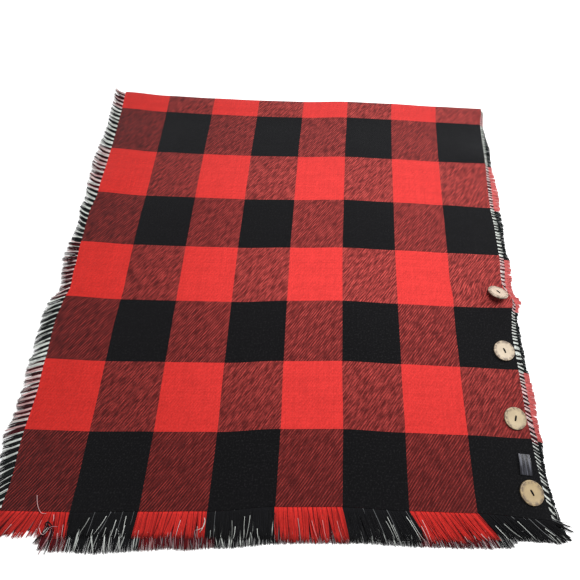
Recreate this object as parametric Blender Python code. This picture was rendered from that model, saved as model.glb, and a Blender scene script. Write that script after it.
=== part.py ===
"""A woven buffalo-check shawl, laid flat and folded once in half.

The smooth fold lies at the far side (+Y) and the two fringed hems at the near
side (-Y).  Four shell buttons and a small folded label lie along the right
edge (+X) of the upper half.  Units are metres, +Z is up, and the origin is on
the surface it lies on, under the middle of the whole part.
"""

import math
import random
from collections import namedtuple

import bmesh
import bpy
from mathutils import Matrix, Vector
from mathutils.bvhtree import BVHTree

MM = 0.001

# ---------------------------------------------------------------- driving sizes

# The panel as it is woven: eight checks across, folded half way along.
CHECK_WIDTH = 78 * MM
CHECKS_ACROSS = 8
PANEL_WIDTH = CHECK_WIDTH * CHECKS_ACROSS
HALF_LENGTH = 650 * MM
CLOTH = 2.0 * MM
GAP = 0.3 * MM

# Where it lies: the left end of the fold, and how far the hem has slid left.
FOLD_LEFT_X = -294.0 * MM
FOLD_Y = 340.7 * MM
LEAN = 28.5 * MM

# The fold is a soft bend, a little higher than two thicknesses of cloth.
FOLD_HEIGHT = 6.8 * MM
FOLD_REACH = 35 * MM

# The under half is a little askew and shows at the right side and the hem.
UNDER_RIGHT = 5 * MM
UNDER_LONGER = 9 * MM

# Mesh spans: across the panel, down each half and round the fold.
SPANS_ACROSS = 30
SPANS_UPPER = 34
SPANS_UNDER = 10
SPANS_FOLD = 6

# Fringe: a strip just off the cloth's edge that the locks of yarn grow from.
STRIP_WIDTH = 3 * MM
STRIP_LOW = 0.5 * MM
STRIP_HIGH = 1.7 * MM
LOCK_BELLY_AT = 0.5
LOCK_BELLY_WIDTH = 0.8
LOCK_BELLY_HEIGHT = 0.8
UPPER_TIP_Z = 2.6 * MM
UNDER_TIP_Z = 0.9 * MM

# Buttons: turned shell discs with two holes and a low rim.
BUTTON_RADIUS = 14 * MM
BUTTON_THICK = 2.6 * MM
BUTTON_EDGE = 0.9 * MM
BUTTON_RIM = 2.2 * MM
BUTTON_DISH = 0.4 * MM
HOLE_RADIUS = 1.1 * MM
HOLE_SPACING = 5.2 * MM
BUTTON_SIDES = 28
HOLE_SIDES = 10
SHARP_ANGLE = math.radians(35)

# Label: a strip of satin folded into a flat loop.
LABEL_WIDTH = 14.5 * MM
LABEL_LENGTH = 24 * MM
LABEL_THICK = 1.2 * MM
LABEL_ACROSS = 0.9758
LABEL_DOWN = 0.9089
LABEL_TURN = 1.0

# ------------------------------------------------- short tables of the laid form

# Side edges of the panel: millimetres to the right of a straight edge, at a
# fraction of the way down from the fold to the hem.
Side = namedtuple("Side", "down left right")
SIDES = (
    Side(0.00, 0.0, 5.5),
    Side(0.06, 1.1, 0.0),
    Side(0.19, 2.7, -2.5),
    Side(0.33, 2.6, -4.2),
    Side(0.38, -1.6, -2.4),
    Side(0.46, -1.0, -2.0),
    Side(0.53, 1.5, -5.7),
    Side(0.575, 4.4, 4.4),
    Side(0.61, -0.5, 0.5),
    Side(0.65, -3.7, -1.4),
    Side(0.73, -1.4, 0.0),
    Side(0.80, 0.8, 0.0),
    Side(0.88, -1.0, 3.0),
    Side(0.95, 1.3, 6.0),
    Side(1.00, -0.5, 10.5),
)

# Fold and hem: millimetres away from straight, at a fraction of the way across.
End = namedtuple("End", "across fold hem")
ENDS = (
    End(0.000, 8.8, -3.2),
    End(0.125, 2.5, -3.3),
    End(0.250, 0.0, -1.4),
    End(0.375, -1.4, 0.0),
    End(0.500, -1.3, 6.0),
    End(0.625, 2.6, 7.2),
    End(0.750, 1.1, 4.2),
    End(0.875, -2.1, 3.1),
    End(1.000, -3.9, -2.5),
)
SIDE_FADE = 0.18

# Where the upper half rides up off the under half: soft mounds, with the turn
# of their long way in degrees and their half sizes and height in millimetres.
Mound = namedtuple("Mound", "across down turn length width height")
MOUNDS = (
    Mound(1.00, 0.575, 90, 34, 46, 5.0),
    Mound(1.00, 0.170, 90, 32, 45, 3.0),
    Mound(0.97, 1.000, 0, 45, 34, 2.5),
    Mound(0.60, 1.000, 0, 110, 38, 2.4),
    Mound(0.22, 1.000, 0, 60, 32, 1.6),
    Mound(0.00, 0.580, 90, 32, 42, 2.2),
    Mound(0.00, 0.300, 90, 36, 36, 1.6),
    Mound(0.28, 0.300, 20, 120, 48, 1.3),
    Mound(0.64, 0.640, -24, 130, 42, 1.5),
    Mound(0.40, 0.800, 65, 95, 36, 1.2),
)

# Fringes: how far each runs and how it leans.  Degrees are towards the near
# side on the side edges, and towards the right on the hems.
Lean = namedtuple("Lean", "along degrees length")
LEFT_LEANS = (
    Lean(0.00, -38, 20),
    Lean(0.25, -22, 20),
    Lean(0.44, -30, 20),
    Lean(0.52, 5, 19),
    Lean(0.62, 22, 20),
    Lean(0.76, 14, 20),
    Lean(1.00, 26, 20),
)
RIGHT_LEANS = (
    Lean(0.00, -10, 4),
    Lean(0.10, 18, 5),
    Lean(0.50, 26, 6.5),
    Lean(1.00, 32, 8),
)
UNDER_RIGHT_LEANS = (
    Lean(0.00, -10, 5),
    Lean(0.10, 12, 6),
    Lean(0.30, 16, 11),
    Lean(0.57, 20, 11),
    Lean(0.64, 24, 7),
    Lean(0.86, 30, 11),
    Lean(1.00, 34, 9),
)
HEM_LEANS = (
    Lean(0.00, -26, 24),
    Lean(0.12, -6, 24),
    Lean(0.50, 3, 29),
    Lean(0.62, 12, 32),
    Lean(0.85, 26, 32),
    Lean(0.93, 36, 30),
    Lean(1.00, 60, 27),
)
UNDER_HEM_LEANS = (
    Lean(0.00, -8, 26),
    Lean(0.50, 3, 26),
    Lean(0.88, 16, 22),
    Lean(1.00, 58, 22),
)
UNDER_LEFT_LEANS = (
    Lean(0.00, -12, 14),
    Lean(1.00, 14, 14),
)
LENGTH_WOBBLE = 0.12
LEAN_WOBBLE = 4.0

# Buttons: where each lies on the upper half, the way its two holes lie, and
# how far it tips about an axis, in degrees.
Button = namedtuple("Button", "name across down turn axis tip")
BUTTONS = (
    Button("button_1", 0.9692, 0.5596, -66, -14.5, -30.5),
    Button("button_2", 0.9744, 0.6875, -73, -40, -2),
    Button("button_3", 0.9749, 0.8247, 70, 20, 1.5),
    Button("button_4", 0.9759, 0.9571, -68, -35, -2.5),
)


# --------------------------------------------------------------------- helpers

def ease(fraction):
    """Smooth step from 0 to 1."""
    clamped = min(1.0, max(0.0, fraction))
    return clamped * clamped * (3 - 2 * clamped)


def value_at(table, column, at):
    """A column's value at a fraction, eased between the rows of a table."""
    last = table[0]
    for row in table[1:]:
        if at <= row[0]:
            blend = ease((at - last[0]) / (row[0] - last[0]))
            start = getattr(last, column)
            return start + (getattr(row, column) - start) * blend
        last = row
    return getattr(last, column)


def material(name, color, roughness, metallic=0.0):
    """A plain Principled material."""
    made = bpy.data.materials.new(name)
    made.use_nodes = True
    shader = made.node_tree.nodes["Principled BSDF"]
    shader.inputs["Base Color"].default_value = (*color, 1.0)
    shader.inputs["Roughness"].default_value = roughness
    shader.inputs["Metallic"].default_value = metallic
    made.diffuse_color = (*color, 1.0)
    return made


def add_object(name, bm, finish):
    """Turn a bmesh into a named object with outward faces."""
    bmesh.ops.recalc_face_normals(bm, faces=bm.faces)
    mesh = bpy.data.meshes.new(name)
    bm.to_mesh(mesh)
    bm.free()
    mesh.materials.append(finish)
    made = bpy.data.objects.new(name, mesh)
    bpy.context.scene.collection.objects.link(made)
    return made


# ------------------------------------------------------------- the laid panel

def place(across, down):
    """Plan position of a point of the upper half."""
    left = value_at(SIDES, "left", down) * ease(1 - across / SIDE_FADE)
    right = value_at(SIDES, "right", down) * ease(1 - (1 - across) / SIDE_FADE)
    x = FOLD_LEFT_X - LEAN * down + PANEL_WIDTH * across + (left + right) * MM
    fold_y = FOLD_Y - FOLD_HEIGHT / 2 + value_at(ENDS, "fold", across) * MM
    hem_y = FOLD_Y - HALF_LENGTH + value_at(ENDS, "hem", across) * MM
    return Vector((x, fold_y + (hem_y - fold_y) * down))


def place_under(across, down):
    """Plan position of a point of the under half."""
    return place(across, down) + Vector((UNDER_RIGHT * ease(down / 0.15), -UNDER_LONGER * down))


def mound_height(point):
    """Sum of the mounds at a plan position."""
    total = 0.0
    for mound in MOUNDS:
        offset = point - place(mound.across, mound.down)
        turned = Matrix.Rotation(-math.radians(mound.turn), 2) @ offset
        reach = (turned.x / (mound.length * MM)) ** 2 + (turned.y / (mound.width * MM)) ** 2
        total += mound.height * MM * math.exp(-reach)
    return total


def upper_bottom(across, down):
    """Height of the upper half's lower face."""
    spring = FOLD_HEIGHT - 2 * CLOTH - GAP
    from_fold = down * HALF_LENGTH / FOLD_REACH
    rise = mound_height(place(across, down)) * ease(down / 0.08)
    return CLOTH + GAP + spring * math.exp(-from_fold ** 2) + rise


def panel_sections(across):
    """Outer and inner points of one lengthwise section, under hem to upper hem."""
    outer = []
    inner = []
    for step in range(SPANS_UNDER, 0, -1):
        point = place_under(across, step / SPANS_UNDER)
        outer.append(Vector((*point, 0.0)))
        inner.append(Vector((*point, CLOTH)))
    bend = place(across, 0.0)
    radius = FOLD_HEIGHT / 2
    for step in range(SPANS_FOLD + 1):
        angle = math.pi * step / SPANS_FOLD - math.pi / 2
        for points, reach in ((outer, radius), (inner, radius - CLOTH)):
            y = bend.y + reach * math.cos(angle)
            points.append(Vector((bend.x, y, radius + reach * math.sin(angle))))
    for step in range(1, SPANS_UPPER + 1):
        down = step / SPANS_UPPER
        point = place(across, down)
        low = upper_bottom(across, down)
        outer.append(Vector((*point, low + CLOTH)))
        inner.append(Vector((*point, low)))
    return outer, inner


def build_panel(finish):
    """The whole folded panel as one closed wall."""
    bm = bmesh.new()
    skins = ([], [])
    for step in range(SPANS_ACROSS + 1):
        for skin, points in zip(skins, panel_sections(step / SPANS_ACROSS)):
            skin.append([bm.verts.new(point) for point in points])
    for skin in skins:
        for line, beside in zip(skin, skin[1:]):
            for a, b, c, d in zip(line, line[1:], beside[1:], beside):
                bm.faces.new((a, b, c, d))
    for outer, inner in ((skins[0][0], skins[1][0]), (skins[0][-1], skins[1][-1])):
        for a, b, c, d in zip(outer, outer[1:], inner[1:], inner):
            bm.faces.new((a, b, c, d))
    for end in (0, -1):
        outer = [line[end] for line in skins[0]]
        inner = [line[end] for line in skins[1]]
        for a, b, c, d in zip(outer, outer[1:], inner[1:], inner):
            bm.faces.new((a, b, c, d))
    return add_object("cloth_panel", bm, finish)


# -------------------------------------------------------------------- fringes

def upper_edge_point(across, down):
    """A point of the upper half's lower edge."""
    return Vector((*place(across, down), upper_bottom(across, down)))


def under_edge_point(across, down):
    """A point of the under half's lower edge."""
    return Vector((*place_under(across, down), 0.0))


def strip_stations(edge, locks_per_span, share):
    """Pairs of points where each lock starts and ends along the edge."""
    stations = []
    for start, end in zip(edge, edge[1:]):
        for lock in range(locks_per_span):
            first = start.lerp(end, lock / locks_per_span)
            last = start.lerp(end, (lock + share) / locks_per_span)
            stations.append((first, last))
    return stations


def strip_ring(bm, point, outward):
    """Four corners of the strip at one station: inner low, outer low, outer high, inner high."""
    near = point + outward * GAP
    far = near + outward * STRIP_WIDTH
    low = Vector((0, 0, STRIP_LOW))
    high = Vector((0, 0, STRIP_HIGH))
    return [bm.verts.new(corner) for corner in (near + low, far + low, far + high, near + high)]


def join_rings(bm, ring, beside, sides):
    """Faces between two rings, on the sides that are named."""
    for side in sides:
        after = (side + 1) % 4
        bm.faces.new((ring[side], ring[after], beside[after], beside[side]))


def grow_lock(bm, root, direction, length, tip_z):
    """A lock of yarn from its root face through a belly to a pointed tip."""
    a_low, b_low, b_high, a_high = root
    middle = (a_low.co + b_low.co + b_high.co + a_high.co) / 4
    tip = middle + direction * length
    tip.z = tip_z
    belly = middle.lerp(tip, LOCK_BELLY_AT)
    width = (b_low.co - a_low.co).length * LOCK_BELLY_WIDTH / 2
    height = (a_high.co.z - a_low.co.z) * LOCK_BELLY_HEIGHT / 2
    side = Vector((direction.y, -direction.x, 0))
    if side.dot(b_low.co - a_low.co) < 0:
        side = -side
    corners = ((-width, -height), (width, -height), (width, height), (-width, height))
    ring = [bm.verts.new(belly + side * s + Vector((0, 0, h))) for s, h in corners]
    join_rings(bm, root, ring, range(4))
    point = bm.verts.new(tip)
    for side_index in range(4):
        bm.faces.new((ring[side_index], ring[(side_index + 1) % 4], point))


def build_fringe(row, finish, seed):
    """A strip along an edge with its locks, as one closed body."""
    name, edge, outward, near_turn, leans, locks_per_span, share, tip_z = row
    bm = bmesh.new()
    wobble = random.Random(seed)
    stations = strip_stations(edge, locks_per_span, share)
    rings = []
    for first, last in stations:
        rings.append(strip_ring(bm, first, outward))
        rings.append(strip_ring(bm, last, outward))
    rings.append(strip_ring(bm, edge[-1], outward))
    for index, (ring, beside) in enumerate(zip(rings, rings[1:])):
        grows = index % 2 == 0
        join_rings(bm, ring, beside, (0, 2, 3) if grows else range(4))
        if not grows:
            continue
        along = index / (len(rings) - 1)
        lean = value_at(leans, "degrees", along) + wobble.uniform(-LEAN_WOBBLE, LEAN_WOBBLE)
        length = value_at(leans, "length", along) * MM
        length *= 1 + wobble.uniform(-LENGTH_WOBBLE, LENGTH_WOBBLE)
        direction = Matrix.Rotation(near_turn * math.radians(lean), 3, "Z") @ outward
        root = (ring[1], beside[1], beside[2], ring[2])
        grow_lock(bm, root, direction, length, tip_z)
    bm.faces.new(rings[0])
    bm.faces.new(rings[-1])
    return add_object(name, bm, finish)


def build_fringes(finish):
    """All six fringes, three on each half."""
    left = Vector((-1, 0, 0))
    right = Vector((1, 0, 0))
    near = Vector((0, -1, 0))
    downs = [step / SPANS_UPPER for step in range(SPANS_UPPER + 1)]
    acrosses = [step / SPANS_ACROSS for step in range(SPANS_ACROSS + 1)]
    under_downs = [step / SPANS_UNDER for step in range(SPANS_UNDER + 1)]
    upper_left = [upper_edge_point(0, down) for down in downs]
    upper_right = [upper_edge_point(1, down) for down in downs]
    upper_hem = [upper_edge_point(across, 1) for across in acrosses]
    under_left = [under_edge_point(0, down) for down in under_downs]
    under_right = [under_edge_point(1, down) for down in under_downs]
    under_hem = [under_edge_point(across, 1) for across in acrosses]
    rows = (
        ("fringe_left_upper", upper_left, left, 1, LEFT_LEANS, 1, 0.5, UPPER_TIP_Z),
        ("fringe_right_upper", upper_right, right, -1, RIGHT_LEANS, 1, 0.45, UPPER_TIP_Z),
        ("fringe_hem_upper", upper_hem, near, 1, HEM_LEANS, 2, 0.6, UPPER_TIP_Z),
        ("fringe_left_under", under_left, left, 1, UNDER_LEFT_LEANS, 3, 0.5, UNDER_TIP_Z),
        ("fringe_right_under", under_right, right, -1, UNDER_RIGHT_LEANS, 3, 0.45, UNDER_TIP_Z),
        ("fringe_hem_under", under_hem, near, 1, UNDER_HEM_LEANS, 2, 0.6, UNDER_TIP_Z),
    )
    for seed, row in enumerate(rows):
        build_fringe(row, finish, seed)


# -------------------------------------------------------------------- buttons

def button_disc():
    """A turned disc with a rounded edge and a dished face, middle at the origin."""
    half = BUTTON_THICK / 2
    radius = BUTTON_RADIUS
    profile = (
        (0, -half),
        (radius - BUTTON_EDGE, -half),
        (radius, -half + BUTTON_EDGE),
        (radius, half - BUTTON_EDGE),
        (radius - BUTTON_EDGE, half),
        (radius - BUTTON_RIM, half),
        (radius - BUTTON_RIM - BUTTON_DISH, half - BUTTON_DISH),
        (0, half - BUTTON_DISH),
    )
    bm = bmesh.new()
    points = [bm.verts.new((x, 0, z)) for x, z in profile]
    edges = [bm.edges.new(pair) for pair in zip(points, points[1:])]
    bmesh.ops.spin(bm, geom=points + edges, cent=(0, 0, 0), axis=(0, 0, 1),
                   angle=math.tau, steps=BUTTON_SIDES, use_merge=True)
    bmesh.ops.remove_doubles(bm, verts=bm.verts, dist=0.01 * MM)
    return bm


def button_holes():
    """Two drills side by side, longer than the disc is thick."""
    bm = bmesh.new()
    for side in (-1, 1):
        shift = Matrix.Translation((side * HOLE_SPACING / 2, 0, 0))
        bmesh.ops.create_cone(bm, cap_ends=True, segments=HOLE_SIDES, radius1=HOLE_RADIUS,
                              radius2=HOLE_RADIUS, depth=3 * BUTTON_THICK, matrix=shift)
    return bm


def seat_height(points, cloth_tree):
    """Lift that leaves the lowest point one gap clear of the cloth below it."""
    lift = 0.0
    down = Vector((0, 0, -1))
    for point in points:
        hit = cloth_tree.ray_cast(Vector((point.x, point.y, PANEL_WIDTH)), down)[0]
        if hit is not None:
            lift = max(lift, hit.z + GAP - point.z)
    return lift


def build_buttons(cloth_tree, finish):
    """The four buttons, each tipped as it lies and seated on the cloth."""
    for row in BUTTONS:
        axis_angle = math.radians(row.axis)
        axis = Vector((math.cos(axis_angle), math.sin(axis_angle), 0))
        turn = Matrix.Rotation(math.radians(row.turn), 4, "Z")
        tip = Matrix.Rotation(math.radians(row.tip), 4, axis)
        base = Matrix.Translation(place(row.across, row.down).to_3d()) @ tip @ turn
        disc = add_object(row.name, button_disc(), finish)
        disc.data.shade_smooth()
        disc.data.set_sharp_from_angle(angle=SHARP_ANGLE)
        points = [base @ vertex.co for vertex in disc.data.vertices]
        base.translation.z += seat_height(points, cloth_tree)
        disc.matrix_world = base
        drill = add_object(row.name + "_drill", button_holes(), finish)
        drill.matrix_world = base
        drill.hide_render = True
        drill.display_type = "WIRE"
        cut = disc.modifiers.new("holes", "BOOLEAN")
        cut.object = drill


# ---------------------------------------------------------------------- label

def build_label(cloth_tree, finish):
    """A flat loop of satin: a slab whose two long ends are rounded over."""
    bm = bmesh.new()
    size = Matrix.Diagonal((LABEL_WIDTH, LABEL_LENGTH, LABEL_THICK, 1))
    bmesh.ops.create_cube(bm, size=1, matrix=size)
    ends = [edge for edge in bm.edges
            if abs(edge.verts[0].co.y - edge.verts[1].co.y) < GAP
            and abs(edge.verts[0].co.z - edge.verts[1].co.z) < GAP]
    bmesh.ops.bevel(bm, geom=ends, offset=LABEL_THICK * 0.42, segments=3, affect="EDGES",
                    profile=0.5, material=-1)
    label = add_object("label", bm, finish)
    middle = Matrix.Translation(place(LABEL_ACROSS, LABEL_DOWN).to_3d())
    base = middle @ Matrix.Rotation(math.radians(LABEL_TURN), 4, "Z")
    corners = [base @ vertex.co for vertex in label.data.vertices]
    base.translation.z += seat_height(corners, cloth_tree)
    label.matrix_world = base


def tree_of(made):
    """A search tree of an object whose mesh is already in place."""
    return BVHTree.FromPolygons([vertex.co for vertex in made.data.vertices],
                                [face.vertices for face in made.data.polygons])


def main():
    """Clear the scene and build the shawl."""
    for old in list(bpy.data.objects):
        bpy.data.objects.remove(old)
    cloth_finish = material("check_cloth", (0.45, 0.03, 0.03), 0.9)
    fringe_finish = material("fringe_yarn", (0.30, 0.05, 0.05), 0.9)
    shell_finish = material("coconut_shell", (0.62, 0.49, 0.33), 0.5)
    satin_finish = material("label_satin", (0.02, 0.02, 0.02), 0.35)
    panel = build_panel(cloth_finish)
    cloth_tree = tree_of(panel)
    build_fringes(fringe_finish)
    build_buttons(cloth_tree, shell_finish)
    build_label(cloth_tree, satin_finish)


main()
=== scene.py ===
# %% [markdown]
# # A buffalo-check shawl, folded once and laid flat
# The real thing is one woven panel with a short fringe all round.  It lies on
# a pale surface, folded in half, with its smooth fold at the far side and its
# two hems together at the near side.  Four coconut-shell buttons and a small
# satin label lie along the right edge.  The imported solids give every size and
# place; this script dresses them.

# %% Load the fixed frame
import math
import random

import bmesh
import bpy
from mathutils import Matrix, Vector, noise


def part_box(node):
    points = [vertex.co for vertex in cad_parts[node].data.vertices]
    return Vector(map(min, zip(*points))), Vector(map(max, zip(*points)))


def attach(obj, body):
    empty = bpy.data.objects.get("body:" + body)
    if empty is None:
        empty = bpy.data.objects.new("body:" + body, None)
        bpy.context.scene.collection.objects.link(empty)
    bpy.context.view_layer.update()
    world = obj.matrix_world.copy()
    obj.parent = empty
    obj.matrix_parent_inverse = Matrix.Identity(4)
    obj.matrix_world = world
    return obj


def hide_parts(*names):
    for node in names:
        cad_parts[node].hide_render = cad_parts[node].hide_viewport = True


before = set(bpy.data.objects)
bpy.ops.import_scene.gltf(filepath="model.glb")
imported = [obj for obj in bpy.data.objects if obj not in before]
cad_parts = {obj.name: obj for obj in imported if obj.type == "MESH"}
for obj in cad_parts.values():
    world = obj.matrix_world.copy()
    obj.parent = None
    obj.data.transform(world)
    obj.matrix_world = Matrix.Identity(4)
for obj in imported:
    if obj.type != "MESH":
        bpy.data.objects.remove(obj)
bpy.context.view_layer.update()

# %% [markdown]
# ## The sizes of the cloth
# A buffalo check is woven on a grid of threads, so every size can be counted
# in threads.  The warp is the closer set: eighty-seven threads make one check
# across, and seventy-two thicker ones make one check along.  The millimetre
# sizes are those of the solids.

# %% Sizes of the panel
MM = 0.001
WARPS_A_CHECK = 87
WEFTS_A_CHECK = 72
CHECK_WIDTH = 78 * MM
CHECK_LENGTH = 87.8 * MM
WARP = CHECK_WIDTH / WARPS_A_CHECK
WEFT = CHECK_LENGTH / WEFTS_A_CHECK
CHECKS_ACROSS = 8
PANEL_WIDTH = CHECKS_ACROSS * CHECK_WIDTH
HALF_LENGTH = 650 * MM
# Thickness of the cloth, and the gap between its two halves.
CLOTH = 2.0 * MM
GAP = 0.3 * MM
# The fold's left end, how far the hem swings left of it, its height, and how far it swells.
FOLD_LEFT_X = -294.0 * MM
FOLD_Y = 340.7 * MM
LEAN = 28.5 * MM
FOLD_HEIGHT = 6.8 * MM
FOLD_REACH = 35 * MM
# How far the under half shows at the right, and past the upper hem.
UNDER_RIGHT = 5 * MM
UNDER_LONGER = 9 * MM
FOLD_ARC = math.pi * FOLD_HEIGHT / 2
UNDER_LENGTH = HALF_LENGTH + UNDER_LONGER
print("threads in mm: warp", round(1000 * WARP, 2), "weft", round(1000 * WEFT, 2))

# %% [markdown]
# ## How it lies
# Cloth that has been put down by hand is never a true rectangle.  The side
# edges wander by a few millimetres, the hem swings, and the upper half rides
# up in low mounds.  Short tables hold these, and easing between their rows
# keeps every line soft.

# %% Tables of the laid form
# Side edges: fraction of the way down, then millimetres to the right.
SIDES = (
    (0, 0, 5.5), (0.06, 1.1, 0), (0.19, 2.7, -2.5), (0.33, 2.6, -4.2), (0.38, -1.6, -2.4),
    (0.46, -1, -2), (0.53, 1.5, -5.7), (0.575, 4.4, 4.4), (0.61, -0.5, 0.5), (0.65, -3.7, -1.4),
    (0.73, -1.4, 0), (0.8, 0.8, 0), (0.88, -1, 3), (0.95, 1.3, 6), (1, -0.5, 10.5),
)
# Fold and hem: fraction of the way across, then millimetres away from straight.
ENDS = (
    (0, 8.8, -3.2), (0.125, 2.5, -3.3), (0.25, 0, -1.4), (0.375, -1.4, 0), (0.5, -1.3, 6),
    (0.625, 2.6, 7.2), (0.75, 1.1, 4.2), (0.875, -2.1, 3.1), (1, -3.9, -2.5),
)
# How far into the cloth the side edges' wander is felt, as a fraction of its width.
SIDE_FADE = 0.18
# Mounds: across, down, turn in degrees, then half length, half width and height in mm.
MOUNDS = (
    (1, 0.575, 90, 34, 46, 5), (1, 0.17, 90, 32, 45, 3), (0.97, 1, 0, 45, 34, 2.5),
    (0.6, 1, 0, 110, 38, 2.4), (0.22, 1, 0, 60, 32, 1.6), (0, 0.58, 90, 32, 42, 2.2),
    (0, 0.3, 90, 36, 36, 1.6), (0.28, 0.3, 20, 120, 48, 1.3), (0.64, 0.64, -24, 130, 42, 1.5),
    (0.4, 0.8, 65, 95, 36, 1.2),
)
# Creases: the same columns, for the finer ridges and troughs of handled cloth.
CREASES = (
    (0.535, 0.52, 86, 40, 5, 0.8), (0.552, 0.52, 84, 34, 6, -0.5), (0.115, 0.54, 78, 30, 6, 0.7),
    (0.13, 0.545, 78, 26, 6, -0.4), (0.56, 0.85, 10, 40, 7, 0.6), (0.66, 0.15, 88, 34, 9, 0.6),
    (0.96, 0.25, 80, 30, 9, 1), (0.3, 0.64, 84, 60, 9, 0.6), (0.82, 0.42, 95, 60, 10, 0.6),
    (0.18, 0.2, 100, 50, 10, 0.5),
)
# Sway: fraction of the way down, then how far the warps bow to the left, in mm.
SWAY = (
    (0, -2.5), (0.05, -1.5), (0.19, 1), (0.32, 2), (0.46, 3), (0.6, 2.3), (0.73, 1.2), (0.87, -1),
    (1, -1),
)
# The weave rises at the right edge: from a fraction across, and over a stretch further down.
RIGHT_RISE = 2.5 * MM
RISE_ACROSS = 0.88
RISE_DOWN = 0.3
RISE_STRETCH = 0.2
# Mounds end at so many of their widths, and the fold itself stays calm over a fraction down.
MOUND_END = 2.6
FOLD_CALM = 0.08
UNDER_STARTS = 0.15
# Height in mm, waves in a metre across and along, and a seed.
RIPPLES = ((0.28, 16, 20, 3.0), (0.12, 48, 60, 8.0))


# %% Functions of the laid form
def ease(fraction):
    """Smooth step from 0 to 1."""
    clamped = min(1.0, max(0.0, fraction))
    return clamped * clamped * (3 - 2 * clamped)


def value_at(table, column, at):
    """A column's value at a fraction, eased between the rows of a table."""
    last = table[0]
    for row in table[1:]:
        if at <= row[0]:
            step = ease((at - last[0]) / (row[0] - last[0]))
            return last[column] + (row[column] - last[column]) * step
        last = row
    return last[column]


def place(across, down):
    """Plan position of a point of the upper half."""
    left = value_at(SIDES, 1, down) * ease(1 - across / SIDE_FADE)
    right = value_at(SIDES, 2, down) * ease(1 - (1 - across) / SIDE_FADE)
    x = FOLD_LEFT_X - LEAN * down + PANEL_WIDTH * across + (left + right) * MM
    fold_y = FOLD_Y - FOLD_HEIGHT / 2 + value_at(ENDS, 1, across) * MM
    hem_y = FOLD_Y - HALF_LENGTH + value_at(ENDS, 2, across) * MM
    return Vector((x, fold_y + (hem_y - fold_y) * down))


def place_under(across, down):
    """Plan position of a point of the under half."""
    shift = Vector((UNDER_RIGHT * ease(down / UNDER_STARTS), -UNDER_LONGER * down))
    return place(across, down) + shift


def raised(point, table):
    """Sum of a table's mounds or creases at a plan position."""
    total = 0.0
    for across, down, turn, length, width, height in table:
        offset = point - place(across, down)
        if offset.length > MOUND_END * max(length, width) * MM:
            continue
        turned = Matrix.Rotation(-math.radians(turn), 2) @ offset
        reach = (turned.x / (length * MM)) ** 2 + (turned.y / (width * MM)) ** 2
        total += height * MM * math.exp(-reach)
    return total


def ripple(point):
    """The faint unevenness of cloth that has been handled, a few tenths of a millimetre."""
    return MM * sum(height * noise.noise(Vector((point.x * across, point.y * along, seed)))
                    for height, across, along, seed in RIPPLES)


def upper_top(across, down):
    """Height of the upper half's outer face."""
    point = place(across, down)
    spring = FOLD_HEIGHT - 2 * CLOTH - GAP
    swell = spring * math.exp(-(down * HALF_LENGTH / FOLD_REACH) ** 2)
    soft = raised(point, MOUNDS) + raised(point, CREASES) + ripple(point)
    return 2 * CLOTH + GAP + swell + soft * ease(down / FOLD_CALM)


print("the hem swings", round(1000 * LEAN, 1), "mm to the left of the fold")

# %% [markdown]
# ## The panel itself
# Cloth this thin could be drawn as a bare sheet, but its cut edges would look
# like paper.  So one grid is laid from the under hem, round the fold and on to
# the upper hem, and a Solidify gives it the real thickness.  The grid keeps
# its own flat coordinates in metres, as a UV map, for the weave to follow.

# %% Lay the panel
COLUMNS = 126
ROWS_UNDER = 44
ROWS_FOLD = 12
ROWS_UPPER = 132
ROWS = ROWS_UNDER + ROWS_FOLD + ROWS_UPPER
# The drawn thickness is a hair under the solid's.
SKIN = 1.9 * MM
SHARP = math.radians(50)


def lay(across, row):
    """Where a point of the flat cloth lies, and how far it is from the upper hem."""
    bent = row - ROWS_UNDER
    if bent < 0:
        down = -bent / ROWS_UNDER
        flat = HALF_LENGTH + FOLD_ARC + UNDER_LENGTH * down
        return Vector((*place_under(across, down), 0.0)), flat
    if bent <= ROWS_FOLD:
        bend = place(across, 0.0)
        turn = math.pi * (bent / ROWS_FOLD - 0.5)
        radius = FOLD_HEIGHT / 2
        flat = HALF_LENGTH + FOLD_ARC * (1 - bent / ROWS_FOLD)
        round_y, round_z = radius * math.cos(turn), radius * math.sin(turn)
        return Vector((bend.x, bend.y + round_y, radius + round_z)), flat
    down = (bent - ROWS_FOLD) / ROWS_UPPER
    return Vector((*place(across, down), upper_top(across, down))), HALF_LENGTH * (1 - down)


def flat_place(across, along):
    """Flat coordinates of the weave, pulled a little askew as a laid cloth is."""
    down = abs(1 - along / HALF_LENGTH)
    sway = value_at(SWAY, 1, down) * MM * math.sin(math.pi * across)
    rise = RIGHT_RISE * ease((across - RISE_ACROSS) / (1 - RISE_ACROSS))
    rise *= ease((down - RISE_DOWN) / RISE_STRETCH) * ease(along / CHECK_LENGTH)
    return across * PANEL_WIDTH + sway, along - rise


# %% Helpers for meshes and pieces
def mesh_from(bm, name):
    """Turn a bmesh into a mesh, and free it."""
    mesh = bpy.data.meshes.new(name)
    bm.to_mesh(mesh)
    bm.free()
    return mesh


def add_object(name, data):
    """A new object in the scene."""
    made = bpy.data.objects.new(name, data)
    bpy.context.scene.collection.objects.link(made)
    return made


def new_piece(name, mesh):
    """A piece of the shawl: an object at the origin that rides on the one body."""
    piece = add_object(name, mesh)
    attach(piece, "root")
    return piece


def finish_with(piece, material):
    """Give a piece its one material."""
    piece.data.materials.clear()
    piece.data.materials.append(material)


def apply_modifiers(piece):
    """Replace a piece's mesh by what its modifiers make of it."""
    graph = bpy.context.evaluated_depsgraph_get()
    made = bpy.data.meshes.new_from_object(piece.evaluated_get(graph), depsgraph=graph)
    piece.modifiers.clear()
    piece.data = made


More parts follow.
